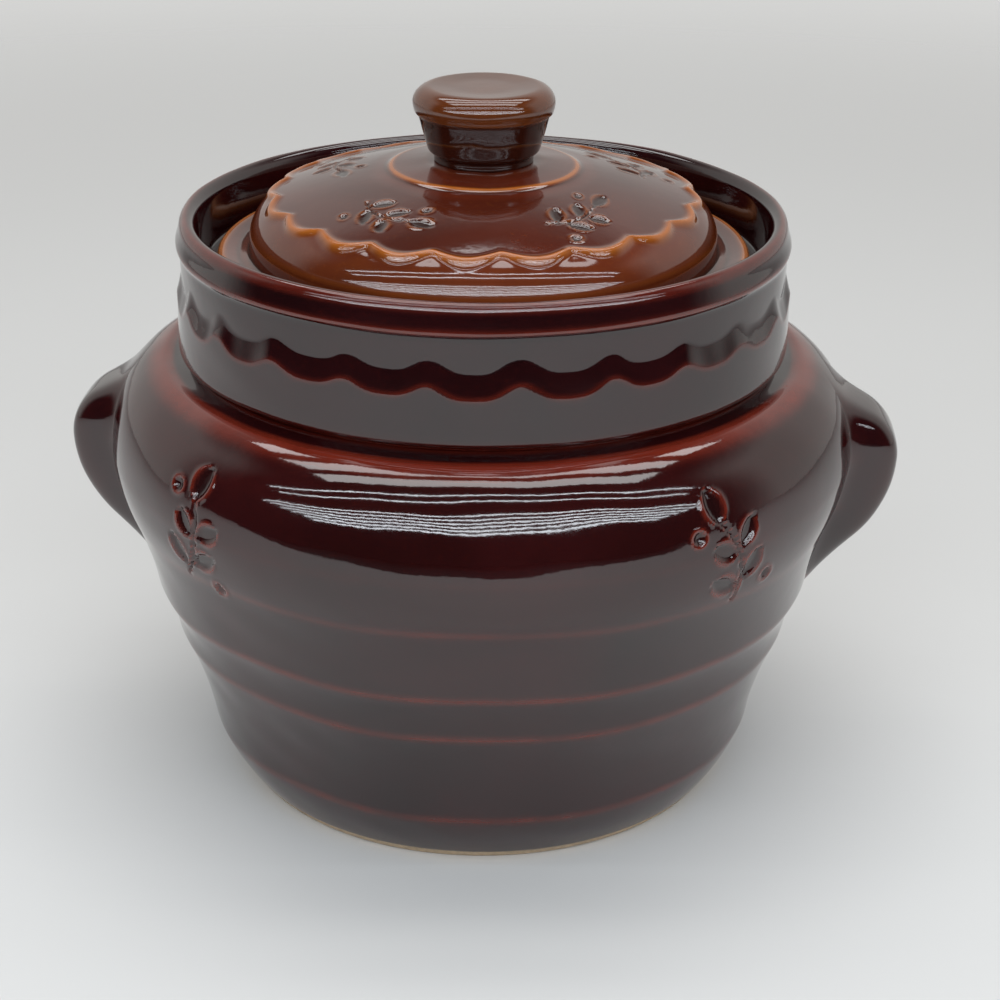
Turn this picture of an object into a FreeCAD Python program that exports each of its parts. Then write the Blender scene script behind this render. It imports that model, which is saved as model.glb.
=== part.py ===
import FreeCAD, Part
import math
import os
import Sketcher

# Stoneware bean pot: a thrown crock with two ear lugs and a loose domed lid with a knob.
# Frame: +Z up, origin at the bottom centre of the foot, the ears on +X and -X, front at -Y.

DRIVING = {
    # rim and the neck below it
    "rim_radius": 78.5,
    "rim_top": 152.2,
    "rim_thickness": 5.8,
    "rim_drop": 7.0,
    "neck_radius": 77.5,
    "neck_waist": 77.1,
    "band_radius": 78.2,
    "band_top": 134.8,
    "band_bevel": 1.9,
    "neck_foot_radius": 76.6,
    "neck_foot_height": 118.2,
    # scallops cut round the top of the neck band
    "scallop_count": 24,
    "scallop_radius": 14.0,
    "scallop_hang": 4.6,
    "scallop_depth": 1.1,
    "scallop_reach": 4.4,
    # shoulder and belly
    "ridge_radius": 82.4,
    "ridge_height": 117.0,
    "cove_arc": 7.5,
    "shoulder_arc": 25.3,
    "belly_radius": 97.3,
    "belly_height": 92.0,
    "upper_belly_radius": 93.9,
    "upper_belly_height": 105.5,
    "upper_belly_arc": 32.0,
    # throwing ridges from the top one down, with shallow flutes between them, then the foot
    "rib_one_radius": 93.4,
    "rib_one_height": 77.2,
    "rib_two_radius": 87.6,
    "rib_two_height": 56.7,
    "rib_three_radius": 82.9,
    "rib_three_height": 43.6,
    "rib_four_radius": 74.3,
    "rib_four_height": 15.7,
    "flute_arc": 90.0,
    "narrow_flute_arc": 32.0,
    "foot_arc": 60.0,
    "belly_arc": 40.0,
    "foot_radius": 67.0,
    "foot_line": 2.2,
    "foot_inset": 1.6,
    "foot_ring_width": 6.0,
    "foot_recess": 1.8,
    # inside of the crock, with the ledge that the lid rests on
    "throat_radius": 64.0,
    "ledge_height": 138.4,
    "ledge_radius": 71.4,
    "ledge_thickness": 5.0,
    "neck_bore_radius": 69.8,
    "under_ledge_height": 126.0,
    "neck_bore_bottom": 112.5,
    "inner_belly_radius": 90.6,
    "inner_rib_radius": 76.6,
    "inner_rib_height": 43.6,
    "inner_foot_radius": 60.0,
    "inner_floor": 9.0,
    "inner_floor_arc": 16.0,
    "inner_belly_arc": 150.0,
    "inner_shoulder_arc": 32.0,
    # ear lugs
    "ear_root": 78.0,
    "ear_top_height": 113.0,
    "ear_reach": 109.0,
    "ear_tip_height": 89.5,
    "ear_heel_height": 50.5,
    "ear_heel_width": 6.0,
    "ear_brow_arc": 14.0,
    "ear_chin_arc": 30.0,
    "ear_width": 27.0,
    "ear_rounding": 11.5,
    "ear_root_clear": 1.0,
    "ear_brow_lean": 60.0,
    "ear_chin_lean": 45.0,
    # lid
    "lid_gap": 0.3,
    "flange_radius": 67.9,
    "flange_edge": 1.6,
    "flange_rise": 4.2,
    "gutter_radius": 62.4,
    "gutter_rise": 2.9,
    "dome_radius": 59.5,
    "dome_foot_height": 142.2,
    "dome_wall_height": 147.2,
    "dome_edge_radius": 53.2,
    "dome_edge_height": 155.2,
    "dome_edge_arc": 13.0,
    "ring_radius": 24.3,
    "ring_height": 162.8,
    "ring_step": 0.9,
    "ring_lip": 1.3,
    "dome_crown_arc": 210.0,
    "skirt_radius": 61.4,
    "skirt_bottom": 133.4,
    "skirt_thickness": 4.6,
    "hollow_edge_radius": 49.0,
    "hollow_edge_height": 150.0,
    "hollow_crown": 158.2,
    "hollow_flat": 8.0,
    # scalloped edge of the raised field on the lid
    "lobe_count": 20,
    "lobe_radius": 9.2,
    "lobe_centre": 46.0,
    "lobe_bottom": 153.0,
    "lobe_top": 157.0,
    # knob
    "knob_seat": 164.6,
    "knob_foot_radius": 12.6,
    "knob_foot_rise": 1.6,
    "knob_stem_radius": 14.2,
    "knob_stem_rise": 3.0,
    "knob_neck_radius": 16.0,
    "knob_neck_rise": 12.2,
    "knob_cap_radius": 17.9,
    "knob_cap_rise": 15.0,
    "knob_cap_arc": 4.4,
    "knob_shoulder_arc": 6.5,
    "knob_top_radius": 12.5,
    "knob_top_rise": 19.0,
    "knob_crown_rise": 19.4,
}

doc = FreeCAD.newDocument("bean_pot")
sheet = doc.addObject("Spreadsheet::Sheet", "Sizes")
for row, (alias, number) in enumerate(DRIVING.items(), start=1):
    sheet.set(f"A{row}", alias)
    sheet.set(f"B{row}", str(number))
    sheet.setAlias(f"B{row}", alias)
doc.recompute()


class Size:
    """A length with its value and the sheet formula that drives it."""

    def __init__(self, formula, value):
        self.formula = formula
        self.value = value

    def __add__(self, other):
        return Size(f"({self.formula} + {other.formula})", self.value + other.value)

    def __sub__(self, other):
        return Size(f"({self.formula} - {other.formula})", self.value - other.value)

    def half(self):
        return Size(f"({self.formula} / 2)", self.value / 2)


def size(alias):
    return Size(f"Sizes.{alias}", float(sheet.get(alias)))


def whole_number(alias):
    """A count kept in the sheet."""
    return round(size(alias).value)


AXIS = Size("0", 0.0)
FLOOR = AXIS
HALF_TURN = 180
TOUCHING = 1e-6


class Outline:
    """A closed outline in the XZ plane, drawn point by point with lines and arcs."""

    def __init__(self, name, x, z):
        self.sketch = doc.addObject("Sketcher::SketchObject", name)
        self.sketch.Placement = FreeCAD.Placement(
            FreeCAD.Vector(0, 0, 0), FreeCAD.Rotation(FreeCAD.Vector(1, 0, 0), 90))
        self.points = [(x, z)]
        self.steps = []

    def line(self, x, z):
        self.points.append((x, z))
        self.steps.append(None)
        return self

    def arc(self, x, z, radius, side):
        """Arc of the given radius; side +1 bulges to the left of the way drawn, -1 to the right."""
        self.points.append((x, z))
        self.steps.append((radius, side))
        return self

    def close(self):
        self.points.append(self.points[0])
        self.steps.append(None)
        ends = []
        for index, step in enumerate(self.steps):
            start = flat(self.points[index])
            end = flat(self.points[index + 1])
            ends.append(self.add_edge(start, end, step))
        for index, (first, last) in enumerate(ends):
            following = ends[(index + 1) % len(ends)][0]
            self.sketch.addConstraint(Sketcher.Constraint("Coincident", *last, *following))
            hold_point(self.sketch, first, self.points[index])
        return self.sketch

    def add_edge(self, start, end, step):
        if step is None:
            edge = self.sketch.addGeometry(Part.LineSegment(start, end))
            return (edge, 1), (edge, 2)
        radius, side = step
        middle = arc_middle(start, end, radius.value, side)
        edge = self.sketch.addGeometry(Part.Arc(start, middle, end))
        held = self.sketch.addConstraint(Sketcher.Constraint("Radius", edge, radius.value))
        self.sketch.setExpression(f"Constraints[{held}]", radius.formula)
        runs_forward = self.sketch.getPoint(edge, 1).isEqual(start, TOUCHING)
        return ((edge, 1), (edge, 2)) if runs_forward else ((edge, 2), (edge, 1))


def hold_point(sketch, vertex, point):
    """Fix a vertex by its two driven distances from the origin; a zero puts it on the axis."""
    for kind, length, other_axis in (("DistanceX", point[0], -2), ("DistanceY", point[1], -1)):
        if length.value == 0:
            sketch.addConstraint(Sketcher.Constraint("PointOnObject", *vertex, other_axis))
            continue
        held = sketch.addConstraint(Sketcher.Constraint(kind, -1, 1, *vertex, length.value))
        sketch.setExpression(f"Constraints[{held}]", length.formula)


def flat(point):
    return FreeCAD.Vector(point[0].value, point[1].value, 0)


def arc_middle(start, end, radius, side):
    chord = end - start
    sagitta = radius - math.sqrt(radius ** 2 - chord.Length ** 2 / 4)
    across = FreeCAD.Vector(-chord.y, chord.x, 0).normalize()
    return (start + end) * 0.5 + across * (sagitta * side)


def turned(name, outline):
    """Solid of revolution about +Z."""
    form = doc.addObject("Part::Revolution", name)
    form.Source = outline
    form.Axis = FreeCAD.Vector(0, 0, 1)
    form.Base = FreeCAD.Vector(0, 0, 0)
    form.Angle = 360
    form.Solid = True
    return form


def crock_outside():
    """Whole outer form of the crock: foot, ridges, belly, shoulder, neck band and rim."""
    rim = size("rim_radius")
    lip = size("rim_thickness").half()
    outline = Outline("CrockOutline", AXIS, FLOOR)
    outline.line(size("foot_radius") - size("foot_inset"), FLOOR)
    outline.line(size("foot_radius"), size("foot_line"))
    outline.arc(size("rib_four_radius"), size("rib_four_height"), size("foot_arc"), -1)
    outline.arc(size("rib_three_radius"), size("rib_three_height"), size("flute_arc"), 1)
    outline.arc(size("rib_two_radius"), size("rib_two_height"), size("narrow_flute_arc"), 1)
    outline.arc(size("rib_one_radius"), size("rib_one_height"), size("flute_arc"), 1)
    outline.arc(size("belly_radius"), size("belly_height"), size("belly_arc"), -1)
    outline.arc(size("upper_belly_radius"), size("upper_belly_height"), size("upper_belly_arc"), -1)
    outline.arc(size("ridge_radius"), size("ridge_height"), size("shoulder_arc"), -1)
    outline.arc(size("neck_foot_radius"), size("neck_foot_height"), size("cove_arc"), 1)
    outline.line(size("band_radius"), size("neck_foot_height") + size("band_bevel"))
    outline.line(size("band_radius"), size("band_top"))
    outline.line(size("neck_waist"), size("band_top") + size("band_bevel"))
    outline.line(size("neck_radius"), size("rim_top") - size("rim_drop") - size("band_bevel"))
    outline.line(rim, size("rim_top") - size("rim_drop"))
    outline.line(rim, size("rim_top") - lip)
    outline.arc(rim - lip, size("rim_top"), lip, -1)
    outline.line(AXIS, size("rim_top"))
    return turned("CrockForm", outline.close())


def crock_inside():
    """Hollow of the crock, from above the rim down past the lid ledge to the floor."""
    rim = size("rim_radius")
    lip = size("rim_thickness").half()
    bore = rim - size("rim_thickness")
    outline = Outline("HollowOutline", AXIS, size("rim_top") + lip)
    outline.line(rim - lip, size("rim_top") + lip)
    outline.line(rim - lip, size("rim_top"))
    outline.arc(bore, size("rim_top") - lip, lip, 1)
    outline.line(size("ledge_radius"), size("ledge_height"))
    outline.line(size("throat_radius"), size("ledge_height"))
    outline.line(size("throat_radius"), size("ledge_height") - size("ledge_thickness"))
    outline.line(size("neck_bore_radius"), size("under_ledge_height"))
    outline.line(size("neck_bore_radius"), size("neck_bore_bottom"))
    outline.arc(size("inner_belly_radius"), size("belly_height"), size("inner_shoulder_arc"), 1)
    outline.arc(size("inner_rib_radius"), size("inner_rib_height"), size("inner_belly_arc"), 1)
    outline.line(size("inner_foot_radius") + size("foot_inset"), size("inner_floor_arc"))
    outline.arc(size("inner_foot_radius") - size("inner_floor"), size("inner_floor"),
                size("inner_floor_arc"), 1)
    outline.line(AXIS, size("inner_floor"))
    return turned("HollowForm", outline.close())


def foot_hollow():
    """Shallow recess inside the foot ring."""
    recess = doc.addObject("Part::Cylinder", "FootRecess")
    recess.setExpression("Radius", "Sizes.foot_radius - Sizes.foot_inset - Sizes.foot_ring_width")
    recess.setExpression("Height", "Sizes.foot_recess")
    return recess


def ring_of_cylinders(name, count, place):
    """Ring of equal cylinders; place sets up each one at its own angle."""
    members = []
    for index in range(count):
        member = doc.addObject("Part::Cylinder", f"{name}_{index + 1}")
        place(member, 2 * HALF_TURN * index / count)
        members.append(member)
    return members


def hang_scallop(cutter, angle):
    """Cylinder lying along the radius, tangent to the neck, that cuts one hanging arc."""
    cutter.setExpression("Radius", "Sizes.scallop_radius")
    cutter.setExpression("Height", "Sizes.scallop_reach")
    start = size("band_radius").value - size("scallop_depth").value
    height = (size("band_top").value - size("scallop_hang").value
              + size("scallop_radius").value)
    heading = FreeCAD.Rotation(FreeCAD.Vector(0, 0, 1), angle)
    outward = FreeCAD.Rotation(FreeCAD.Vector(0, 1, 0), 90)
    at = heading.multVec(FreeCAD.Vector(start, 0, height))
    cutter.Placement = FreeCAD.Placement(at, heading.multiply(outward))


def neck_limits():
    """Ring that keeps the scallops on the neck: it spans the band and its bevel only."""
    outer = doc.addObject("Part::Cylinder", "BandRing")
    outer.setExpression("Radius", "Sizes.band_radius + Sizes.band_bevel")
    outer.setExpression("Height", "Sizes.scallop_hang + Sizes.band_bevel")
    low = size("band_top").value - size("scallop_hang").value
    outer.Placement = FreeCAD.Placement(FreeCAD.Vector(0, 0, low), FreeCAD.Rotation())
    return outer


def thrown_crock(outside):
    """The whole thrown wall: outer form less the hollow, the foot recess and the neck scallops."""
    scallops = doc.addObject("Part::MultiFuse", "Scallops")
    scallops.Shapes = ring_of_cylinders("Scallop", whole_number("scallop_count"), hang_scallop)
    trimmed = doc.addObject("Part::Common", "TrimmedScallops")
    trimmed.Base = scallops
    trimmed.Tool = neck_limits()
    removed = doc.addObject("Part::MultiFuse", "CrockRemoved")
    removed.Shapes = [crock_inside(), foot_hollow(), trimmed]
    wall = doc.addObject("Part::Cut", "ThrownWall")
    wall.Base = outside
    wall.Tool = removed
    return wall


def above_shoulder():
    """Everything from the foot of the neck upwards."""
    zone = doc.addObject("Part::Cylinder", "AboveShoulder")
    zone.setExpression("Radius", "Sizes.belly_radius")
    zone.setExpression("Height", "Sizes.rim_top")
    low = size("neck_foot_height").value
    zone.Placement = FreeCAD.Placement(FreeCAD.Vector(0, 0, low), FreeCAD.Rotation())
    return zone


def wall_share(label, operation, wall, zone):
    """Part of the wall inside or outside the zone above the shoulder."""
    share = doc.addObject(operation, label.title().replace("_", ""))
    share.Base = wall
    share.Tool = zone
    share.Label = label
    return share


def ear_outline(name):
    """Side view of an ear: two arcs that meet at the tip, each run out by a tangent line."""
    root = size("ear_root")
    heel = root + size("ear_heel_width")
    low = size("ear_heel_height")
    top = size("ear_top_height")
    tip = size("ear_tip_height")
    reach = size("ear_reach")
    brow_arc = size("ear_brow_arc")
    chin_arc = size("ear_chin_arc")
    sketch = doc.addObject("Sketcher::SketchObject", name)
    sketch.Placement = FreeCAD.Placement(
        FreeCAD.Vector(0, 0, 0), FreeCAD.Rotation(FreeCAD.Vector(1, 0, 0), 90))
    brow_lean = math.radians(size("ear_brow_lean").value)
    chin_lean = math.radians(size("ear_chin_lean").value)
    brow = ear_arc(sketch, reach - brow_arc, tip, brow_arc, 0, brow_lean)
    chin = ear_arc(sketch, reach - chin_arc, tip, chin_arc, -chin_lean, 0)
    brow_end = sketch.getPoint(brow, 2)
    chin_end = sketch.getPoint(chin, 1)
    root_top = flat((root, top))
    root_low = flat((root, low))
    heel_low = flat((heel, low))
    over = sketch.addGeometry(Part.LineSegment(brow_end, root_top))
    back = sketch.addGeometry(Part.LineSegment(root_top, root_low))
    base = sketch.addGeometry(Part.LineSegment(root_low, heel_low))
    under = sketch.addGeometry(Part.LineSegment(heel_low, chin_end))
    for first, following in ((over, back), (back, base), (base, under)):
        sketch.addConstraint(Sketcher.Constraint("Coincident", first, 2, following, 1))
    for first, end, following, start in ((brow, 2, over, 1), (under, 2, chin, 1), (chin, 2, brow, 1)):
        sketch.addConstraint(Sketcher.Constraint("Tangent", first, end, following, start))
    hold_point(sketch, (brow, 1), (reach, tip))
    hold_point(sketch, (back, 1), (root, top))
    hold_point(sketch, (base, 1), (root, low))
    hold_point(sketch, (under, 1), (heel, low))
    level = sketch.addConstraint(Sketcher.Constraint("DistanceY", -1, 1, brow, 3, tip.value))
    sketch.setExpression(f"Constraints[{level}]", tip.formula)
    return sketch


def ear_arc(sketch, centre_x, centre_z, radius, start, end):
    circle = Part.Circle(flat((centre_x, centre_z)), FreeCAD.Vector(0, 0, 1), radius.value)
    edge = sketch.addGeometry(Part.ArcOfCircle(circle, start, end))
    held = sketch.addConstraint(Sketcher.Constraint("Radius", edge, radius.value))
    sketch.setExpression(f"Constraints[{held}]", radius.formula)
    return edge


def ear(label, heading, outside):
    """Ear lug: a rounded lobe drawn in the XZ plane, trimmed to the outside of the crock."""
    slab = doc.addObject("Part::Extrusion", f"{label}_slab")
    slab.Base = ear_outline(f"{label}_outline")
    slab.DirMode = "Normal"
    slab.Symmetric = True
    slab.Solid = True
    slab.setExpression("LengthFwd", "Sizes.ear_width")
    doc.recompute()
    rounded = doc.addObject("Part::Fillet", f"{label}_rounded")
    rounded.Base = slab
    rounding = size("ear_rounding").value
    rounded.Edges = [(number, rounding, rounding) for number in free_face_edges(slab.Shape)]
    rounded.Placement = FreeCAD.Placement(
        FreeCAD.Vector(0, 0, 0), FreeCAD.Rotation(FreeCAD.Vector(0, 0, 1), heading))
    lug = doc.addObject("Part::Cut", f"{label}_lug")
    lug.Base = rounded
    lug.Tool = outside
    lug.Label = label
    return lug


def free_face_edges(shape):
    """Numbers of the edges that border a side face and stand clear of the root."""
    reach = size("ear_root").value + size("ear_heel_width").value
    side = size("ear_width").value / 2
    numbers = []
    for number, edge in enumerate(shape.Edges, start=1):
        on_side = all(abs(abs(vertex.Point.y) - side) < TOUCHING for vertex in edge.Vertexes)
        if on_side and edge.BoundBox.XMax > reach + size("ear_root_clear").value:
            numbers.append(number)
    return numbers


def lid_seat():
    """Height of the flange's underside, just clear of the ledge."""
    return size("ledge_height") + size("lid_gap")


def lid():
    """Domed lid: flange with a gutter, raised scalloped field, knob ring and hollow underside."""
    seat = lid_seat()
    outline = Outline("LidOutline", AXIS, size("knob_seat"))
    outline.line(size("knob_stem_radius") + size("ring_step"), size("knob_seat"))
    outline.line(size("ring_radius") - size("ring_lip"), size("ring_height") + size("ring_step"))
    outline.line(size("ring_radius"), size("ring_height") + size("ring_step"))
    outline.line(size("ring_radius") + size("ring_lip"), size("ring_height"))
    outline.arc(size("dome_edge_radius"), size("dome_edge_height"), size("dome_crown_arc"), 1)
    outline.arc(size("dome_radius"), size("dome_wall_height"), size("dome_edge_arc"), 1)
    outline.line(size("dome_radius"), size("dome_foot_height"))
    outline.line(size("gutter_radius"), seat + size("gutter_rise"))
    outline.line(size("flange_radius") - size("flange_edge"), seat + size("flange_rise"))
    outline.arc(size("flange_radius"), seat + size("flange_rise") - size("flange_edge"),
                size("flange_edge"), 1)
    outline.line(size("flange_radius"), seat)
    outline.line(size("skirt_radius"), seat)
    outline.line(size("skirt_radius"), size("skirt_bottom"))
    outline.line(size("skirt_radius") - size("skirt_thickness"), size("skirt_bottom"))
    outline.line(size("hollow_edge_radius") + size("skirt_thickness"), size("dome_foot_height"))
    outline.line(size("hollow_edge_radius"), size("hollow_edge_height"))
    outline.arc(size("hollow_flat"), size("hollow_crown"), size("dome_crown_arc"), -1)
    outline.line(AXIS, size("hollow_crown"))
    dish = turned("LidDish", outline.close())
    field = doc.addObject("Part::MultiFuse", "LidField")
    count = whole_number("lobe_count")
    field.Shapes = [dish] + ring_of_cylinders("Lobe", count, raise_lobe)
    field.Label = "lid"
    return field


def raise_lobe(lobe, angle):
    """Upright cylinder whose outer side makes one lobe of the field's edge."""
    lobe.setExpression("Radius", "Sizes.lobe_radius")
    lobe.setExpression("Height", "Sizes.lobe_top - Sizes.lobe_bottom")
    heading = FreeCAD.Rotation(FreeCAD.Vector(0, 0, 1), angle)
    at = heading.multVec(FreeCAD.Vector(
        size("lobe_centre").value, 0, size("lobe_bottom").value))
    lobe.Placement = FreeCAD.Placement(at, heading)


def lid_knob():
    """Knob: undercut foot, stem that widens upwards and a rounded cap."""
    seat = size("knob_seat")
    outline = Outline("KnobOutline", AXIS, seat)
    outline.line(size("knob_foot_radius"), seat)
    outline.line(size("knob_foot_radius"), seat + size("knob_foot_rise"))
    outline.line(size("knob_stem_radius"), seat + size("knob_stem_rise"))
    outline.line(size("knob_neck_radius"), seat + size("knob_neck_rise"))
    outline.arc(size("knob_cap_radius"), seat + size("knob_cap_rise"), size("knob_cap_arc"), -1)
    outline.arc(size("knob_top_radius"), seat + size("knob_top_rise"), size("knob_shoulder_arc"), -1)
    outline.line(AXIS, seat + size("knob_crown_rise"))
    knob = turned("LidKnob", outline.close())
    knob.Label = "lid_knob"
    return knob


form = crock_outside()
wall = thrown_crock(form)
upper = above_shoulder()
pieces = [
    wall_share("crock_body", "Part::Cut", wall, upper),
    wall_share("neck_collar", "Part::Common", wall, upper),
    ear("right_ear", 0, form),
    ear("left_ear", HALF_TURN, form),
    lid(),
    lid_knob(),
]
doc.recompute()

for item in doc.Objects:
    if "Invalid" in item.State or "Error" in item.State:
        raise RuntimeError(f"{item.Label} did not build: {item.State}")
for piece in pieces:
    if piece.Shape.isNull() or not piece.Shape.isValid():
        raise RuntimeError(f"{piece.Label} has no valid shape")

os.makedirs("parts", exist_ok=True)
for piece in pieces:
    piece.Shape.exportStep(f"parts/{piece.Label}.step")
    box = piece.Shape.BoundBox
    print(piece.Label, "solids", len(piece.Shape.Solids), "cm3", round(piece.Shape.Volume / 1000, 1),
          "z", round(box.ZMin, 2), round(box.ZMax, 2), "x", round(box.XMin, 2), round(box.XMax, 2))
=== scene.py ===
# Stoneware bean pot: glazed crock with two ear lugs and a loose domed lid with a knob.
# Lengths in the dictionaries are millimetres; meshes are written in metres.
from math import cos, pi, radians, sin

import bpy
import numpy as np
from mathutils import Matrix, Vector


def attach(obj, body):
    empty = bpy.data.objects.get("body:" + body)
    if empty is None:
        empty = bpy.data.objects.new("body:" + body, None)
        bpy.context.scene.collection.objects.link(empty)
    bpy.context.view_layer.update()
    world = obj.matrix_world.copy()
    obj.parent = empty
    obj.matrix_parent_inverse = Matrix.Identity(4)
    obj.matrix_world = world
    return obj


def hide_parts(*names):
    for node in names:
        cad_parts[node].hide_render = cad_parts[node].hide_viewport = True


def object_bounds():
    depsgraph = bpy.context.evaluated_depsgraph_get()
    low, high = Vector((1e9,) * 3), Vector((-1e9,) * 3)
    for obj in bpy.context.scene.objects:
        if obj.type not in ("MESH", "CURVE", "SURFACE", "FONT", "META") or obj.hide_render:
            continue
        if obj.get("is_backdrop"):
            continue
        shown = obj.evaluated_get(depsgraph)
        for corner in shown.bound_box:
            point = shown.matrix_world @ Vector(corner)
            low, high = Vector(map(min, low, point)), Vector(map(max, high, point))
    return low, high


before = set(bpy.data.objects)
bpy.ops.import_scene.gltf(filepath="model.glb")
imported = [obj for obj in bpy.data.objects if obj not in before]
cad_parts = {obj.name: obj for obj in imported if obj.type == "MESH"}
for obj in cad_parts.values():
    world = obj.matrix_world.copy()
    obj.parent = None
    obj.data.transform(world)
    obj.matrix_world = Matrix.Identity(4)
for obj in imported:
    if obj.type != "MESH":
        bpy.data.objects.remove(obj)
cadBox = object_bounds()
print("frame loaded:", sorted(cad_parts))

mm = 0.001
evenStep = 0.2                  # millimetres between the points of a softened profile
bellReach = 3                   # widths of the softening bell on each side
wobbleTurns = (2, 3, 5, 7, 9)   # waves round the turn of the hand unevenness
wobblePace = (0.5, 1.5)
wobbleScale = 3


# Profiles and grids

def arcPoints(start, end, radius, side, step=0.25):
    # points of a circle of this radius from start to end; side +1 bulges left of the way drawn, -1 right
    start, end = np.array(start, float), np.array(end, float)
    chord = end - start
    length = np.hypot(*chord)
    across = np.array([-chord[1], chord[0]]) / length
    centre = (start + end) / 2 - across * side * np.sqrt(radius ** 2 - length ** 2 / 4)
    first = np.arctan2(*(start - centre)[::-1])
    turn = -side * 2 * np.arcsin(length / (2 * radius))
    angles = first + np.linspace(0, turn, max(3, int(abs(turn) * radius / step)))
    return centre + radius * np.stack([np.cos(angles), np.sin(angles)], 1)


def drawProfile(start, steps, step=0.25):
    # joins straight runs (x, z) and arcs (x, z, radius, side) into one dense line of points
    line = [np.array([start], float)]
    for way in steps:
        last = line[-1][-1]
        if len(way) == 4:
            line.append(arcPoints(last, way[:2], way[2], way[3], step)[1:])
        else:
            run = np.array(way, float) - last
            count = max(2, int(np.hypot(*run) / step))
            line.append(last + run * np.linspace(0, 1, count)[1:, None])
    return np.concatenate(line)


def softenProfile(line, glazeSoftness):
    # evens the points along the line and averages them with a bell of this width, ends held
    gaps = np.hypot(*np.diff(line, axis=0).T)
    along = np.concatenate([[0], np.cumsum(gaps)])
    even = np.linspace(0, along[-1], int(along[-1] / evenStep))
    points = np.stack([np.interp(even, along, line[:, k]) for k in (0, 1)], 1)
    reach = int(glazeSoftness * bellReach / evenStep)
    bell = np.exp(-0.5 * (np.arange(-reach, reach + 1) * evenStep / glazeSoftness) ** 2)
    bell /= bell.sum()
    before = 2 * points[0] - points[reach:0:-1]
    after = 2 * points[-1] - points[-2:-reach - 2:-1]
    padded = np.concatenate([before, points, after])
    soft = np.stack([np.convolve(padded[:, k], bell, "valid") for k in (0, 1)], 1)
    soft[:, 0] = np.maximum(soft[:, 0], 0)
    soft[0], soft[-1] = points[0], points[-1]
    return even, soft


def spreadRows(even, spacing, count):
    # row places along the profile: their density is one over the wanted spacing at each point
    density = np.cumsum(1 / spacing)
    density -= density[0]
    return np.interp(np.linspace(0, density[-1], count), density, even)


def bend(even, soft):
    # signed curvature of the profile, per millimetre: positive where the surface is convex
    slope = np.gradient(soft, even, axis=0)
    angle = np.unwrap(np.arctan2(slope[:, 1], slope[:, 0]))
    return np.gradient(angle, even)


def shapeProfile(line, glazeSoftness, convex=1):
    # the softened profile with its slopes, its curvature and the places of its highest and widest points
    even, soft = softenProfile(line, glazeSoftness)
    slope = np.gradient(soft, even, axis=0)
    return {"even": even, "soft": soft, "slope": slope, "curve": convex * bend(even, soft),
            "topAt": even[np.argmax(soft[:, 1])], "wideAt": even[np.argmax(soft[:, 0])]}


def readProfile(profile, along):
    # radius, height, both slopes and curvature at these places along a profile
    columns = (*profile["soft"].T, *profile["slope"].T, profile["curve"])
    return [np.interp(along, profile["even"], column) for column in columns]


def smoothStep(edge0, edge1, value):
    # 0 below edge0, 1 above edge1, an even S between them
    t = np.clip((value - edge0) / (edge1 - edge0), 0, 1)
    return t * t * (3 - 2 * t)


def wobble(theta, height, seed, size):
    # slow hand unevenness: a few sines of the turn and the height with seeded phases, about -1 to 1
    picks = np.random.default_rng(seed)
    total = np.zeros(np.broadcast(theta, height).shape)
    for turns in wobbleTurns:
        phase, lean = picks.uniform(0, 2 * pi, 2)
        pace = picks.uniform(*wobblePace) / size
        total += np.sin(turns * theta + phase + height * pace) * np.cos(height * pace + lean)
    return total / wobbleScale


def bellAt(value, centre, width):
    # 1 at the centre, falling off to both sides as a bell of this width
    return np.exp(-((value - centre) / width) ** 2)


def addMesh(name, points, faces, body, nodes, material, marks):
    # one closed mesh in metres, riding its body and standing for its CAD nodes
    mesh = bpy.data.meshes.new(name)
    mesh.from_pydata((points * mm).tolist(), [], faces)
    for markName, values in marks.items():
        mark = mesh.attributes.new(markName, "FLOAT", "POINT")
        mark.data.foreach_set("value", np.asarray(values, np.float32).ravel())
    mesh.polygons.foreach_set("use_smooth", np.ones(len(mesh.polygons), bool))
    mesh.materials.append(material)
    mesh.validate()
    piece = bpy.data.objects.new(name, mesh)
    bpy.context.scene.collection.objects.link(piece)
    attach(piece, body)
    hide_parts(*nodes)
    print(f"{name}: {len(points)} points")


def withPoles(points, first, last):
    # the grid's points between two poles on the axis, at these heights
    return np.concatenate([[[0, 0, first]], points.reshape(-1, 3), [[0, 0, last]]])


def poleMarks(marks):
    # one value per point for each mark, which is given as (first pole, grid, last pole)
    return {name: np.concatenate([[first], grid.ravel(), [last]])
            for name, (first, grid, last) in marks.items()}


def turnedFaces(rows, columns):
    # faces of a grid closed round the turn, with a fan to one point at each end
    # points are ordered: first pole, rows * columns, last pole
    row, column = np.meshgrid(np.arange(rows - 1), np.arange(columns), indexing="ij")
    nextColumn = (column + 1) % columns
    quads = np.stack([row * columns + column, row * columns + nextColumn,
                      (row + 1) * columns + nextColumn, (row + 1) * columns + column], -1)
    faces = (quads.reshape(-1, 4) + 1).tolist()
    ring = np.arange(columns)
    last = rows * columns + 1
    top = (rows - 1) * columns
    faces += np.stack([np.zeros(columns, int), (ring + 1) % columns + 1, ring + 1], 1).tolist()
    faces += np.stack([np.full(columns, last), top + ring + 1, top + (ring + 1) % columns + 1], 1).tolist()
    return faces


def ringFaces(rows, columns):
    # faces of a grid closed both round the turn and along the profile
    row, column = np.meshgrid(np.arange(rows), np.arange(columns), indexing="ij")
    nextRow, nextColumn = (row + 1) % rows, (column + 1) % columns
    quads = np.stack([row * columns + column, row * columns + nextColumn,
                      nextRow * columns + nextColumn, nextRow * columns + column], -1)
    return quads.reshape(-1, 4).tolist()


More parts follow.
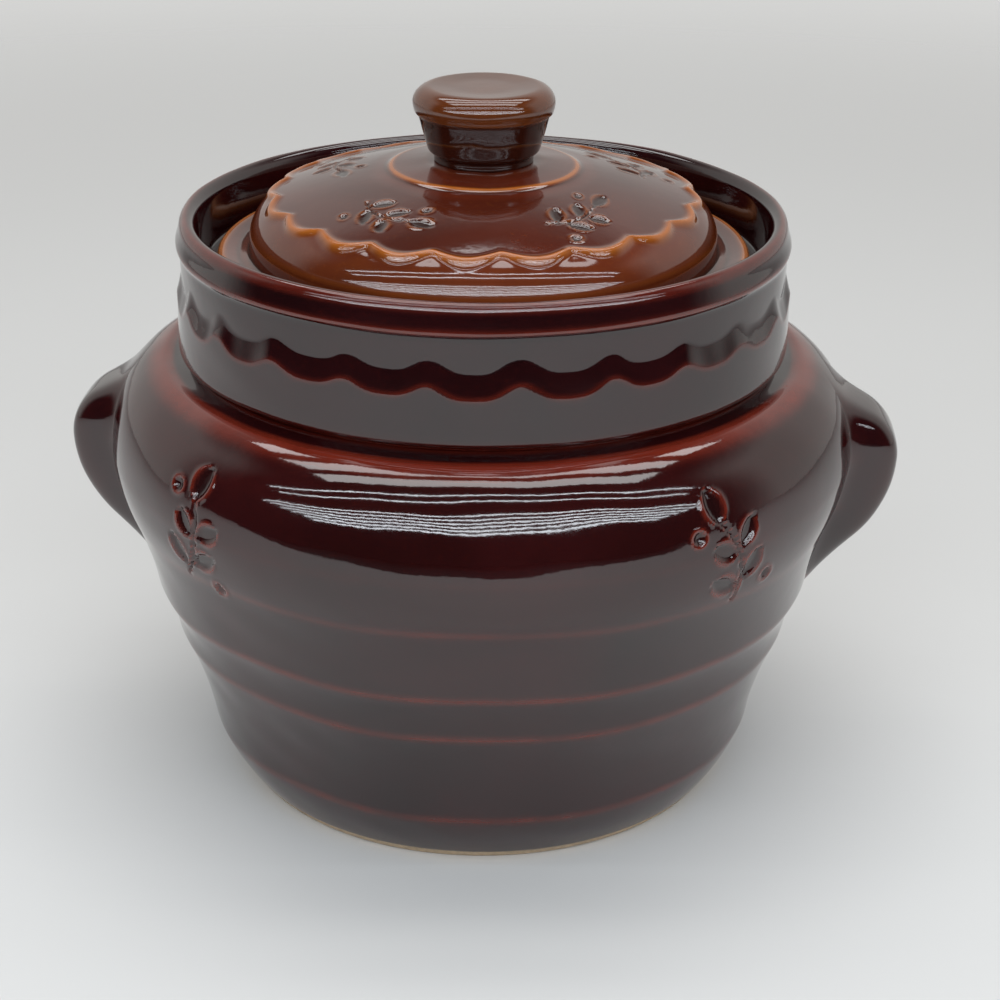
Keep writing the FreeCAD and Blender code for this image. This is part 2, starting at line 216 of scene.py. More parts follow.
def unevenTurn(columns, centres, halfWidth, gain, edge=(0.85, 1.25)):
    # column angles, packed closer by this gain within halfWidth of each centre angle
    fine = np.linspace(0, 2 * pi, 20 * 360 + 1)
    density = np.ones_like(fine)
    for centre in centres:
        away = np.abs((fine - centre + pi) % (2 * pi) - pi)
        density += (gain - 1) * (1 - smoothStep(halfWidth * edge[0], halfWidth * edge[1], away))
    total = np.concatenate([[0], np.cumsum((density[1:] + density[:-1]) / 2)])
    return np.interp(np.linspace(0, total[-1], columns, endpoint=False), total, fine)


# Leaf sprigs pressed into the clay: a bowed stem with paired leaves and a few seeds

sprig = {
    "length": 25.0, "bow": 3.2,
    "stemHalfWidth": 0.55, "stemEnd": 0.47, "stemEndPull": 3,
    "leafLength": 9.4, "leafWidth": 4.5,
    "leafPlaces": (0.22, 0.60),           # shares of the stem
    "leafStart": (1.0, 0.8),              # off the stem, across and along it
    "leafSpread": 50.0,                   # degrees off the stem
    "leafShortening": (1.05, 0.3),        # length at the stem's foot and its loss towards the tip
    "leafFullness": (2.2, 0.7), "leafNarrowest": 0.02, "leafTaper": 0.35,
    "pointFrom": 0.86, "pointPull": 4.55,
    "tipLeaf": 9.6, "tipLeafAt": 0.46, "tipLeafWidth": 1.1,
    "seedPlaces": ((-8.6, 11.5), (9.6, -10.0)), "seedRadius": 1.7,
    "pressedEdge": (0.55, 1.05), "lipAt": 1.28, "lipWidth": 0.24,
    "depth": 0.8, "lip": 0.3,
    "farAway": 9.0,
}


def pressedLeaf(u, v, baseU, baseV, heading, length, width):
    # distance measure of a leaf pointed at both ends: below 1 inside, 1 on its outline
    du, dv = u - baseU, v - baseV
    forward = du * cos(heading) + dv * sin(heading) - length / 2
    across = -du * sin(heading) + dv * cos(heading)
    reach = forward / (length / 2)
    roundness, fullness = sprig["leafFullness"]
    girth = np.maximum(1 - np.abs(reach) ** roundness, sprig["leafNarrowest"])
    point = sprig["pointPull"] * np.maximum(np.abs(reach) - sprig["pointFrom"], 0)
    return np.hypot(across / (width / 2) / girth ** fullness, reach * sprig["leafTaper"]) + point


def sprigRelief(u, v, lean, scale):
    # returns the pressed depth and the share of raised lip of one sprig, in its own flat u, v:
    # the nearest of its leaves, stem and seeds sets both
    turn = radians(lean)
    su = (u * cos(turn) + v * sin(turn)) / scale
    sv = (-u * sin(turn) + v * cos(turn)) / scale
    length, bow, width = sprig["length"], sprig["bow"], sprig["leafWidth"]
    startU, startV = sprig["leafStart"]
    longest, shortening = sprig["leafShortening"]
    nearest = np.full(np.broadcast(su, sv).shape, sprig["farAway"])
    for place in sprig["leafPlaces"]:
        stemU = bow * sin(pi * place) - bow / 2
        stemV = (place - 0.5) * length
        leafLength = sprig["leafLength"] * (longest - shortening * place)
        for side in (-1, 1):
            heading = pi / 2 - side * radians(sprig["leafSpread"])
            leaf = pressedLeaf(su, sv, stemU + side * startU, stemV + side * startV,
                               heading, leafLength, width)
            nearest = np.minimum(nearest, leaf)
    tip = pressedLeaf(su, sv, -bow / 2, length * sprig["tipLeafAt"], pi / 2,
                      sprig["tipLeaf"], width * sprig["tipLeafWidth"])
    nearest = np.minimum(nearest, tip)
    along = np.clip(sv / length + 0.5, 0, 1)
    stem = np.abs(su - (bow * np.sin(pi * along) - bow / 2)) / sprig["stemHalfWidth"]
    stem = stem + np.maximum(np.abs(sv) - length * sprig["stemEnd"], 0) * sprig["stemEndPull"]
    nearest = np.minimum(nearest, stem)
    for seedU, seedV in sprig["seedPlaces"]:
        nearest = np.minimum(nearest, np.hypot(su - seedU, sv - seedV) / sprig["seedRadius"])
    pressed = 1 - smoothStep(*sprig["pressedEdge"], nearest)
    return pressed, bellAt(nearest, sprig["lipAt"], sprig["lipWidth"])


def pressedSprigs(piece, places, theta, shape, flat, share):
    # sums of the pressed depth and the raised lip of sprigs at these angles, every second one leaning the
    # other way; flat gives u, v from the angle off a sprig and share fades the sprig out past its ends
    pressed, lips = np.zeros(shape), np.zeros(shape)
    for number, place in enumerate(places):
        away = (theta - radians(place) + pi) % (2 * pi) - pi
        dent, lip = sprigRelief(*flat(away), piece["sprigLean"] * (-1) ** number, piece["sprigScale"])
        near = share(away)
        pressed, lips = pressed + dent * near, lips + lip * near
    return pressed, lips


# Crock

crock = {
    "columns": 440, "rows": 222,
    "collarColumns": 480, "collarRows": 176,
    "footRadius": 67.0, "footLine": 2.2, "footInset": 1.6, "footRing": 6.0, "footRecess": 1.8,
    "ridges": ((74.3, 15.7), (82.9, 43.6), (87.6, 56.7), (93.4, 77.2)),   # radius, height
    "flutes": ((60.0, -1), (90.0, 1), (32.0, 1), (90.0, 1)),              # arc below each ridge and its side
    "belly": (97.2, 92.0), "bellyArc": 40.0, "upperBelly": (93.9, 105.5), "upperBellyArc": 32.0,
    "shoulderRidge": (82.4, 115.4), "shoulderArc": 19.3,
    "neckFoot": (76.6, 116.6), "coveArc": 7.5, "footLip": 0.15,
    "bandRadius": 78.2, "bandTop": 134.8, "bevel": 1.9, "bevelRun": 0.9,
    "neckWaist": 77.1, "neckRadius": 77.5,
    "rimRadius": 78.5, "rimTop": 152.2, "rimThickness": 5.8, "rimDrop": 7.0, "rimSlope": 1.2, "rimUnder": 0.7,
    "ledge": (71.4, 138.4), "ledgeThickness": 5.0, "throat": 64.0,
    "neckBore": 69.8, "underLedge": 126.0, "neckBoreBottom": 112.5, "boreLip": 0.4,
    "innerBelly": 90.6, "innerShoulderArc": 32.0,
    "innerRib": (76.6, 43.6), "innerRibArc": 150.0,
    "innerFoot": 60.0, "innerFootHeight": 16.0, "innerFootArc": 16.0, "floorHeight": 9.0,
    "glazeSoftness": 0.7,

    # wanted row spacing, each over the ones before it
    "plainGap": 1.5,
    "bellyGap": 0.62, "bellyFrom": 70,
    "shoulderGap": 0.5, "shoulderFrom": 108,
    "ridgeGap": 0.8, "ridgeReach": 3,
    "footGap": 0.6, "footReach": 4, "footAt": 56, "underGap": 6.0,
    "insideGap": 7.0, "insidePast": 6,
    "collarGap": 0.42, "collarGaps": ((8, 1.1), (26, 3.0)),               # past the top, spacing
    "sprigHalfTurn": 13, "sprigCrowding": 3.2,

    # hand unevenness, from nothing at the first of these heights to all of it at the second
    "wallStart": (2.0, 10.0),
    "unevenness": ((1, 7, 16.0, 0.24), (3, 11, 5.0, 0.09)),               # turns, seed, size, depth
    "sway": 0.9, "swaySeed": 5, "swayStart": (8, 20), "swayEnd": (84, 96),

    "scallops": 24, "scallopHeight": 131.4, "scallopSwing": 1.5, "scallopStep": 1.5, "scallopSlope": 5.4,
    "scallopTurn": 3.0,                   # degrees that the cusps stand off the front
    "scallopDrift": ((0.3, 3, 1), (0.2, 7, 0)), "swingDrift": (0.25, 5, 2),   # size, turns, phase
    "scallopCusp": 0.22, "stepFall": 1.12, "stepStart": (0.6, 2.4),
    "sprigPlaces": (48.0, 132.0, 228.0, 312.0),                           # degrees round from +X
    "sprigHeight": 89.0, "sprigLean": -16.0, "sprigScale": 1.0, "sprigReach": 0.35,

    # where the glaze breaks to its thin colour, where it pools and where the clay is bare; along the shoulder
    # ridge the thin colour is partly a painted highlight
    "bendThin": 1.3, "bendThinMost": 0.75, "lipThin": 0.95,
    "edgeThin": 0.42, "edgeAt": -0.03, "edgeWidth": 0.13,
    "ridgeThin": 0.46, "ridgeThinRise": 0.2, "ridgeThinWidth": 1.0, "thinUneven": (0.75, 0.35),
    # shoulder band: thin glaze along the ridge, partly a painted highlight in the thin colour
    "shoulderThinAndHighlight": 0.95, "shoulderThinAndHighlightDrop": 0.4, "shoulderThinAndHighlightWidth": 1.6,
    "shoulderInner": (79.5, 81), "shoulderOuter": (86.5, 89.5), "thinMost": 1.3,
    "bendPooled": 2.0, "pressedPooled": 0.8,
    "clayEdge": (2.2, 2.9), "clayUneven": 0.25,
}


def bodyLine():
    # foot centre, outside up to the foot of the neck, joint, inside down to the floor's centre
    c = crock
    ring = c["footRadius"] - c["footInset"]
    steps = [(ring - c["footRing"], c["footRecess"]), (ring - c["footRing"], 0), (ring, 0),
             (c["footRadius"], c["footLine"])]
    steps += [(*ridge, *flute) for ridge, flute in zip(c["ridges"], c["flutes"])]
    steps += [
        (*c["belly"], c["bellyArc"], -1),
        (*c["upperBelly"], c["upperBellyArc"], -1),
        (*c["shoulderRidge"], c["shoulderArc"], -1),
        (*c["neckFoot"], c["coveArc"], 1),
        (c["neckBore"], c["neckFoot"][1]),
        (c["neckBore"], c["neckBoreBottom"]),
        (c["innerBelly"], c["belly"][1], c["innerShoulderArc"], 1),
        (*c["innerRib"], c["innerRibArc"], 1),
        (c["innerFoot"] + c["footInset"], c["innerFootHeight"]),
        (c["innerFoot"] - c["floorHeight"], c["floorHeight"], c["innerFootArc"], 1),
        (0, c["floorHeight"]),
    ]
    return drawProfile((0, c["footRecess"]), steps)


def collarLine():
    # once round the neck: joint, outside, over the rim, ledge, throat, bore back to the joint
    c = crock
    lip = c["rimThickness"] / 2
    steps = [
        (c["neckFoot"][0] + c["footLip"], c["neckFoot"][1]),
        (c["bandRadius"] - c["bevelRun"], c["neckFoot"][1] + c["bevel"]),
        (c["neckWaist"], c["bandTop"]),
        (c["neckRadius"], c["rimTop"] - c["rimDrop"] - c["rimUnder"]),
        (c["rimRadius"], c["rimTop"] - c["rimDrop"]),
        (c["rimRadius"] - c["rimSlope"], c["rimTop"] - lip),
        (c["rimRadius"] - lip, c["rimTop"], lip, -1),
        (c["rimRadius"] - 2 * lip, c["rimTop"] - lip, lip, -1),
        c["ledge"],
        (c["throat"], c["ledge"][1]),
        (c["throat"], c["ledge"][1] - c["ledgeThickness"]),
        (c["neckBore"], c["underLedge"]),
        (c["neckBore"], c["neckFoot"][1] + c["boreLip"]),
    ]
    return drawProfile((c["neckBore"], c["neckFoot"][1]), steps)


bodyProfile = shapeProfile(bodyLine(), crock["glazeSoftness"])
collarProfile = shapeProfile(collarLine(), crock["glazeSoftness"])


def alongAt(height):
    # place on the body's profile where the outside reaches this height, read off every twentieth point
    outer = bodyProfile["even"] < bodyProfile["topAt"]
    return np.interp(height, bodyProfile["soft"][outer, 1][::20], bodyProfile["even"][outer][::20])


def bodySpacing():
    # wanted row spacing: fine round the sprigs, the ridges and the shoulder, coarse inside and underneath
    c = crock
    even, height = bodyProfile["even"], bodyProfile["soft"][:, 1]
    spacing = np.full(len(even), c["plainGap"])
    spacing[(height > c["bellyFrom"]) & (height < c["shoulderFrom"])] = c["bellyGap"]
    spacing[height >= c["shoulderFrom"]] = c["shoulderGap"]
    for _, ridgeHeight in c["ridges"]:
        spacing[np.abs(height - ridgeHeight) < c["ridgeReach"]] = c["ridgeGap"]
    spacing[(height < c["footReach"]) & (even > c["footAt"])] = c["footGap"]
    spacing[even <= c["footAt"]] = c["underGap"]
    spacing[even > bodyProfile["topAt"] + c["insidePast"]] = c["insideGap"]
    return spacing


def collarSpacing():
    # fine outside and over the rim, coarser down the throat
    even = collarProfile["even"]
    spacing = np.full(len(even), crock["collarGap"])
    for past, gap in crock["collarGaps"]:
        spacing[even > collarProfile["topAt"] + past] = gap
    return spacing


def scallopEdge(theta):
    # height of the wavy edge: arcs that hang down between cusps, a little uneven round the pot
    c = crock
    phase = c["scallops"] * (theta - radians(c["scallopTurn"]))
    for size, turns, start in c["scallopDrift"]:
        phase = phase + size * np.sin(turns * theta + start)
    size, turns, start = c["swingDrift"]
    swing = c["scallopSwing"] * (1 + size * np.sin(turns * theta + start))
    return c["scallopHeight"] - swing * np.cos(phase) + c["scallopCusp"] * swing * np.cos(2 * phase)


def crockSurface(profile, along, theta):
    # a point of the wall: the soft profile turned by theta, pushed along its normal by the relief;
    # relief = scalloped step on the neck + pressed sprigs + slow hand wobble; returns points, marks
    c = crock
    radius, height, slopeR, slopeZ, curve = readProfile(profile, along)
    outside = 1 - smoothStep(profile["topAt"] - 1, profile["topAt"] + 1, along)
    wall = outside * smoothStep(*c["wallStart"], height)

    lift = (height - scallopEdge(theta)) / c["scallopSlope"]
    onNeck = smoothStep(*c["stepStart"], height - c["neckFoot"][1]) * outside
    relief = c["scallopStep"] * np.where(lift < 0, 1.0, np.clip(1 - lift, 0, 1) ** c["stepFall"]) * onNeck
    edge = bellAt(lift, c["edgeAt"], c["edgeWidth"]) * onNeck

    middle = alongAt(c["sprigHeight"])
    pressed, lips = pressedSprigs(
        c, c["sprigPlaces"] if profile is bodyProfile else (), theta, relief.shape,
        lambda away: (away * radius, along - middle), lambda away: (np.abs(away) < c["sprigReach"]) * outside)
    relief = relief - sprig["depth"] * pressed + sprig["lip"] * lips * (1 - pressed)
    relief = relief + wall * sum(depth * wobble(turns * theta, height, seed, size)
                                 for turns, seed, size, depth in c["unevenness"])
    push = relief / np.hypot(slopeR, slopeZ)
    outR = radius + push * slopeZ
    sway = c["sway"] * wobble(theta, height * 0, c["swaySeed"], 1)
    sway = sway * smoothStep(*c["swayStart"], height) * (1 - smoothStep(*c["swayEnd"], height))
    outZ = height - push * slopeR + wall * sway
    points = np.stack([outR * np.cos(theta), outR * np.sin(theta), outZ], -1)

    thin = np.clip(curve * c["bendThin"], 0, c["bendThinMost"]) * outside
    thin = thin + c["edgeThin"] * edge + c["lipThin"] * lips * (1 - pressed)
    middling, swing = c["thinUneven"]
    uneven = middling + swing * wobble(5 * theta, height, 17, 9)
    for _, ridgeHeight in c["ridges"]:
        ridge = bellAt(height, ridgeHeight + c["ridgeThinRise"], c["ridgeThinWidth"])
        thin = thin + c["ridgeThin"] * uneven * ridge * outside
    # a band of thin colour along the shoulder ridge: partly thin glaze, partly a painted highlight
    shoulder = bellAt(height, c["shoulderRidge"][1] - c["shoulderThinAndHighlightDrop"], c["shoulderThinAndHighlightWidth"])
    shoulder = shoulder * smoothStep(*c["shoulderInner"], radius) * outside
    thin = thin + c["shoulderThinAndHighlight"] * shoulder * (1 - smoothStep(*c["shoulderOuter"], radius))
    pooled = np.clip(-curve * c["bendPooled"], 0, 1) + c["pressedPooled"] * pressed
    clayLine = height + c["clayUneven"] * wobble(theta, height, 3, 9)
    bare = (1 - smoothStep(*c["clayEdge"], clayLine)) * (along < profile["topAt"])
    return points, np.clip(thin, 0, c["thinMost"]), np.clip(pooled, 0, 1), bare


def crockBody(material):
    # the body's rows between two poles on the axis, its columns packed closer round the sprigs
    c = crock
    theta = unevenTurn(c["columns"], [radians(p) for p in c["sprigPlaces"]], radians(c["sprigHalfTurn"]),
                       c["sprigCrowding"])
    along = spreadRows(bodyProfile["even"], bodySpacing(), c["rows"])[1:-1]
    points, thin, pooled, bare = crockSurface(bodyProfile, along[:, None], theta[None, :])
    full = withPoles(points, bodyProfile["soft"][0, 1], bodyProfile["soft"][-1, 1])
    marks = {"thinGlaze": (0, thin, 0), "pooledGlaze": (0, pooled, 0), "bareClay": (1, bare + 0 * thin, 0)}
    addMesh("potBody", full, turnedFaces(len(along), len(theta)), "crock", ["crock_body"],
            material, poleMarks(marks))


def crockCollar(material):
    # the neck's rows, which close on themselves as a ring
    theta = np.linspace(0, 2 * pi, crock["collarColumns"], endpoint=False)
    along = spreadRows(collarProfile["even"], collarSpacing(), crock["collarRows"])
    points, thin, pooled, _ = crockSurface(collarProfile, along[:, None], theta[None, :])
    marks = {"thinGlaze": thin, "pooledGlaze": pooled, "bareClay": np.zeros_like(thin)}
    addMesh("neckCollar", points.reshape(-1, 3), ringFaces(len(along), len(theta)), "crock", ["neck_collar"],
            material, marks)


# Ear lugs

ear = {
    "rows": 110,
    "columns": 120,
    "halfTurn": 17.5,        # degrees of wall that the patch covers each side
    "lowest": 42.0, "highest": 116.4,
    "root": 78.0, "top": 114.5, "heel": (84.0, 53.0),
    "reach": 109.0, "tipHeight": 89.5, "browArc": 14.0, "chinArc": 30.0,
    "halfWidth": 12.9, "squareness": 6.5,
    "topNarrowing": 2.0, "narrowingInset": 3,
    "blend": 2.6,            # softness where the lug leaves the wall
    "fades": (0.12, 0.05),   # shares of the rows over which it starts, below and above
    "sink": 0.35,            # the patch's border lies this far inside the wall
    "sinkUntil": 0.9,
    "thickness": 3.0,
    "crestThin": 0.08, "crestFrom": (0.35, 0.9), "crestPush": 14,
    "markEnd": (0.5, 4), "pooledEnd": 1,
}


def tangentPoint(centre, radius, outer, side):
    # where a line from the outer point touches a circle
    gap = np.array(outer) - np.array(centre)
    angle = np.arctan2(gap[1], gap[0]) + side * np.arccos(radius / np.hypot(*gap))
    return centre[0] + radius * np.cos(angle), centre[1] + radius * np.sin(angle)


def earReach(height):
    # outline of the lug in its middle plane: a line off the shoulder, two arcs that meet at the tip,
    # and a line back to the wall, as reach over height
    root, top, tip = ear["root"], ear["top"], ear["tipHeight"]
    heel, heelHeight = ear["heel"]

    def arcReach(arc):
        return ear["reach"] - arc + np.sqrt(np.maximum(arc ** 2 - (height - tip) ** 2, 0))

    brow, browHeight = tangentPoint((ear["reach"] - ear["browArc"], tip), ear["browArc"], (root, top), -1)
    chin, chinHeight = tangentPoint((ear["reach"] - ear["chinArc"], tip), ear["chinArc"], ear["heel"], 1)
    over = brow + (height - browHeight) * (root - brow) / (top - browHeight)
    under = chin + (height - chinHeight) * (heel - chin) / (heelHeight - chinHeight)
    reach = np.where(height > tip, arcReach(ear["browArc"]), arcReach(ear["chinArc"]))
    reach = np.where(height > browHeight, over, reach)
    return np.where(height < chinHeight, under, reach)


def patchFaces(rows, columns):
    # faces of a closed slab: a front grid, the same grid behind it and a wall round their borders
    row, column = np.meshgrid(np.arange(rows - 1), np.arange(columns - 1), indexing="ij")
    quads = np.stack([row * columns + column, row * columns + column + 1,
                      (row + 1) * columns + column + 1, (row + 1) * columns + column], -1).reshape(-1, 4)
    size = rows * columns
    border = np.concatenate([np.arange(columns), np.arange(1, rows) * columns + columns - 1,
                             (rows - 1) * columns + np.arange(columns - 2, -1, -1),
                             np.arange(rows - 2, 0, -1) * columns])
    following = np.roll(border, -1)
    wall = np.stack([following, border, border + size, following + size], 1)
    return quads.tolist() + (quads[:, ::-1] + size).tolist() + wall.tolist()


def earMesh(name, node, heading, material):
    # the wall's own surface pushed out along the ear's axis; push = soft positive part of
    # (outline reach - wall reach) times a flat-topped bell across the lug
    e = ear
    rows, columns = e["rows"], e["columns"]
    along = np.linspace(alongAt(e["lowest"]), alongAt(e["highest"]), rows)[:, None]
    turn = radians(e["halfTurn"]) * np.linspace(-1, 1, columns)[None, :]
    points, thin, pooled, _ = crockSurface(bodyProfile, along, heading + turn)
    axis = np.array([cos(heading), sin(heading), 0])
    side = np.array([-sin(heading), cos(heading), 0])
    wall, across, height = points @ axis, points @ side, points[..., 2]
    stand = earReach(height) - wall[:, columns // 2][:, None]
    grown = (stand + np.sqrt(stand ** 2 + e["blend"] ** 2)) / 2
    narrowing = smoothStep(e["tipHeight"] + e["narrowingInset"], e["top"] - e["narrowingInset"], height)
    halfWidth = e["halfWidth"] - e["topNarrowing"] * narrowing
    bell = np.exp(-(np.abs(across) / halfWidth) ** e["squareness"])
    rise = np.linspace(0, 1, rows)[:, None]
    starts, ends = e["fades"]
    push = grown * bell * (smoothStep(0, starts, rise) * smoothStep(0, ends, rise[::-1]))
    sink = e["sink"] * (1 - smoothStep(0.0, e["sinkUntil"], push))
    front = points + (push - sink)[..., None] * axis
    back = points - e["thickness"] * axis
    full = np.concatenate([front.reshape(-1, 3), back.reshape(-1, 3)])
    crest = smoothStep(*e["crestFrom"], push / e["crestPush"])
    thin = thin * (1 - smoothStep(*e["markEnd"], push)) + e["crestThin"] * crest
    marks = {"thinGlaze": thin, "pooledGlaze": pooled * (push < e["pooledEnd"]), "bareClay": 0 * thin}
    marks = {name: np.concatenate([grid.ravel(), 0 * grid.ravel()]) for name, grid in marks.items()}
    addMesh(name, full, patchFaces(rows, columns), "crock", [node], material, marks)


# Lid

lid = {
    "columns": 400,
    "rows": 196,
    "seat": 138.7,
    "flangeRadius": 67.9, "flangeEdge": 1.6, "flangeRise": 4.2,
    "gutter": (62.4, 2.9),
    "domeRadius": 59.5, "domeFoot": 142.2, "domeWall": 147.2,
    "domeEdge": (53.2, 155.2), "domeEdgeArc": 13.0, "crownArc": 210.0,
    "ring": (23.8, 162.8), "ringStep": 0.75, "ringLip": 0.8,
    "knobSeat": 164.6, "knobStem": 14.2,
    "skirtRadius": 61.4, "skirtBottom": 133.4, "skirtThickness": 4.6,
    "hollowEdge": (49.0, 150.0), "hollowCrown": 158.2, "hollowFlat": 8.0,
    "glazeSoftness": 0.5,

    # wanted row spacing, each over the ones before it
    "plainGap": 0.8,
    "knobGap": 3.5, "knobReach": 14,
    "edgeGap": 0.42, "edgeZone": (49, 57),
    "underGaps": ((4, 2.2), (30, 6.0)),              # past the flange, spacing

    "lobes": 20, "lobeTurn": 0.4, "lobeSwing": 1.25, "cuspSoftness": 0.01,
    "lobeDrift": (0.3, 3), "edgeDrift": (0.25, 2, 1),   # size, turns, phase
    "fieldRadius": 54.4, "fieldRise": 0.12, "fieldBlend": 0.9,
    "beadRise": 0.95, "beadWidth": 1.05, "beadInset": 0.2,
    "decoratedFrom": (26, 30),
    "unevenness": 0.12,
    "sprigPlaces": (20.0, 92.0, 164.0, 236.0, 308.0), "sprigRadius": 39.5, "sprigScale": 0.72,
    "sprigLean": 12, "sprigReach": 0.6, "sprigInner": (26.5, 28), "sprigDepth": 0.38, "sprigLip": 0.15,

    # where the glaze breaks to its thin colour and where it pools
    "beadThin": 1.1, "ringThinInset": 0.3, "ringThinWidth": 0.62,
    "flangeThinInset": 0.7, "flangeThinWidth": 1.1, "flangeThinFrom": 2,
    "lipThin": 0.4, "bendThin": 0.8, "bendThinMost": 0.5, "thinMost": 1.3,
    "wallThin": 0.05, "wallInner": (1.5, 4.0), "wallOuter": (61, 63),
    "bendPooled": 1.6, "pressedPooled": 0.9, "fieldPooled": 0.35,
}


def lidLine():
    # whole lid in one line: knob seat centre, crown, field edge, dome wall, gutter, flange, skirt, hollow
    c = lid
    rise = c["seat"] + c["flangeRise"]
    steps = [
        (c["knobStem"] + c["ringStep"], c["knobSeat"]),
        (c["ring"][0] - c["ringLip"], c["ring"][1] + c["ringStep"]),
        (c["ring"][0], c["ring"][1] + c["ringStep"]),
        (c["ring"][0] + c["ringLip"], c["ring"][1]),
        (*c["domeEdge"], c["crownArc"], 1),
        (c["domeRadius"], c["domeWall"], c["domeEdgeArc"], 1),
        (c["domeRadius"], c["domeFoot"]),
        (c["gutter"][0], c["seat"] + c["gutter"][1]),
        (c["flangeRadius"] - c["flangeEdge"], rise),
        (c["flangeRadius"], rise - c["flangeEdge"], c["flangeEdge"], 1),
        (c["flangeRadius"], c["seat"]),
        (c["skirtRadius"], c["seat"]),
        (c["skirtRadius"], c["skirtBottom"]),
        (c["skirtRadius"] - c["skirtThickness"], c["skirtBottom"]),
        (c["hollowEdge"][0] + c["skirtThickness"], c["domeFoot"]),
        c["hollowEdge"],
        (c["hollowFlat"], c["hollowCrown"], c["crownArc"], -1),
        (0, c["hollowCrown"]),
    ]
    return drawProfile((0, c["knobSeat"]), steps)


lidProfile = shapeProfile(lidLine(), lid["glazeSoftness"], -1)


def lidSpacing():
    # fine rows on the crown, the field's edge and the flange, coarse underneath
    even, radius = lidProfile["even"], lidProfile["soft"][:, 0]
    inner, outer = lid["edgeZone"]
    spacing = np.full(len(even), lid["plainGap"])
    spacing[radius < lid["knobReach"]] = lid["knobGap"]
    spacing[(radius > inner) & (radius < outer)] = lid["edgeGap"]
    for past, gap in lid["underGaps"]:
        spacing[even > lidProfile["wideAt"] + past] = gap
    return spacing


def lidSurface(along, theta):
    # a point of the lid: the soft profile turned by theta, pushed along its normal by the relief;
    # relief = raised field with a lobed edge and a bead on that edge + pressed sprigs + slow wobble
    c = lid
    radius, height, slopeR, slopeZ, curve = readProfile(lidProfile, along)
    upper = 1 - smoothStep(lidProfile["wideAt"] + 1, lidProfile["wideAt"] + 3, along)
    size, turns = c["lobeDrift"]
    phase = c["lobes"] * (theta - radians(c["lobeTurn"])) + size * np.sin(turns * theta)
    bump = np.sqrt(0.5 + 0.5 * np.cos(phase) + c["cuspSoftness"])       # round lobes that meet in cusps
    size, turns, start = c["edgeDrift"]
    fieldEdge = c["fieldRadius"] - 2 * c["lobeSwing"] * (1 - bump) + size * np.sin(turns * theta + start)
    beyond = radius - fieldEdge
    field = 1 - smoothStep(-c["fieldBlend"], c["fieldBlend"], beyond)
    bead = bellAt(beyond, -c["beadInset"], c["beadWidth"])
    top = upper * smoothStep(*c["decoratedFrom"], radius)
    relief = top * (c["fieldRise"] * field + c["beadRise"] * bead)
    sprigShare = top * smoothStep(*c["sprigInner"], radius)
    pressed, lips = pressedSprigs(
        c, c["sprigPlaces"], theta, relief.shape, lambda away: (radius - c["sprigRadius"], away * radius),
        lambda away: (np.abs(away) < c["sprigReach"]) * sprigShare)
    relief = relief - c["sprigDepth"] * pressed + c["sprigLip"] * lips * (1 - pressed)
    relief = relief + upper * c["unevenness"] * wobble(theta, radius, 23, 14.0)
    push = relief / np.hypot(slopeR, slopeZ)
    outR, outZ = radius - push * slopeZ, height + push * slopeR
    points = np.stack([outR * np.cos(theta), outR * np.sin(theta), outZ], -1)

    ring = bellAt(radius, c["ring"][0] - c["ringThinInset"], c["ringThinWidth"]) * upper
    flange = bellAt(radius, c["flangeRadius"] - c["flangeThinInset"], c["flangeThinWidth"])
    flange = flange * upper * (height > c["seat"] + c["flangeThinFrom"])
    thin = c["beadThin"] * bead * top + ring + flange + c["lipThin"] * lips * (1 - pressed)
    thin = thin + np.clip(curve * c["bendThin"], 0, c["bendThinMost"]) * upper
    wall = smoothStep(*c["wallInner"], beyond) * (1 - smoothStep(*c["wallOuter"], radius)) * top
    pooled = np.clip(-curve * c["bendPooled"], 0, 1) + c["pressedPooled"] * pressed
    pooled = pooled + c["fieldPooled"] * field * (1 - bead) * top
    return points, np.clip(thin + c["wallThin"] * wall, 0, c["thinMost"]), np.clip(pooled, 0, 1)


def lidMesh(material):
    # the lid's rows from the knob seat's centre over the rim of the flange to the hollow's centre
    theta = np.linspace(0, 2 * pi, lid["columns"], endpoint=False)
    along = spreadRows(lidProfile["even"], lidSpacing(), lid["rows"])[1:-1]
    points, thin, pooled = lidSurface(along[:, None], theta[None, :])
    full = withPoles(points, lidProfile["soft"][0, 1], lidProfile["soft"][-1, 1])
    marks = {"thinGlaze": (0, thin, 0), "pooledGlaze": (0, pooled, 0), "bareClay": (0, 0 * thin, 0)}
    faces = [face[::-1] for face in turnedFaces(len(along), len(theta))]
    addMesh("potLid", full, faces, "loose_lid", ["lid"], material, poleMarks(marks))


# Knob

knob = {
    "columns": 128,
    "rows": 110,
    "seat": 164.6,           # the heights of the rings below are above this
    "foot": (12.6, 1.6),
    "stem": (14.2, 3.0),
    "neck": (16.6, 11.9),
    "lip": (17.3, 12.3),
    "cap": (17.9, 15.3), "capArc": 8.0,
    "top": (13.8, 18.9), "shoulderArc": 4.3,
    "dish": (8.0, 18.5),
    "glazeSoftness": 0.3,
    "gap": 0.35, "innerGap": 2.0, "innerReach": 11,
    "unevenness": 0.12, "unevenFrom": (2, 10),
    "capFrom": (-0.2, 0.5),  # either side of the neck
    "capThin": 0.55, "bendThin": 0.7, "bendThinMost": 0.6, "stemPooled": 0.85,
}


